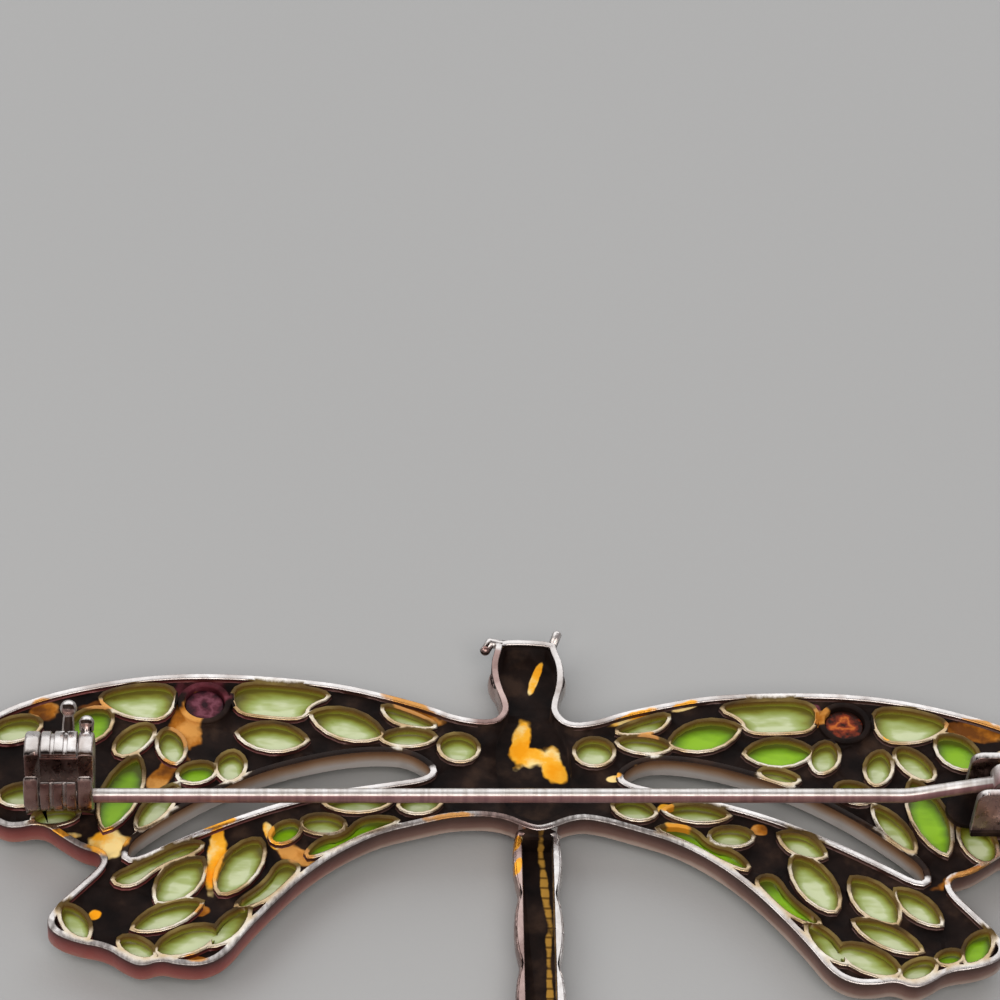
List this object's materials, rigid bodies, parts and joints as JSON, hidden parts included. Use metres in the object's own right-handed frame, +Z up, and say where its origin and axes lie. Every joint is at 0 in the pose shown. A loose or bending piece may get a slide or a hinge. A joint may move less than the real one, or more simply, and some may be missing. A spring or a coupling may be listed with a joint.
{
  "type": "dragonfly brooch",
  "caption": "Dragonfly brooch with pierced wings, translucent enamel cells, a hinged pin stem and a rollover catch on its back.",
  "frame": {"origin": "middle of the footprint, on the surface that the brooch's front rests on", "axes": "+X across the wings toward the hinge, +Y along the body toward the head, +Z up out of the brooch's back"},
  "size_m": [0.0702, 0.048, 0.0083],
  "materials": {
    "oxidised_silver": "polished rims on blackened ground",
    "green_enamel": "translucent gloss",
    "purple_stone": "polished",
    "orange_stone": "polished",
    "pin_wire": "drawn wire",
    "catch_silver": "polished, dark in the grooves"
  },
  "bodies": {
    "brooch": {"frame": "oxidised_silver", "forewing_panes_left": "green_enamel", "forewing_panes_right": "green_enamel", "hindwing_panes_left": "green_enamel", "hindwing_panes_right": "green_enamel", "left_stone": "purple_stone", "right_stone": "orange_stone", "hinge_rivet": "pin_wire"},
    "pin": {"pin_stem": "pin_wire"},
    "catch": {"catch_ring": "catch_silver"}
  },
  "joints": [
    {"name": "pin_hinge", "type": "hinge", "parent": "brooch", "child": "pin", "pos_m": [0.02974, 0.00999, 0.006], "axis": [-0.0384, 0.9993, 0], "range_deg": [0, 80]},
    {"name": "catch_turn", "type": "hinge", "parent": "brooch", "child": "catch", "pos_m": [-0.02897, 0.00894, 0.0054], "axis": [0.9993, 0.0384, 0], "range_deg": [0, 100]}
  ]
}
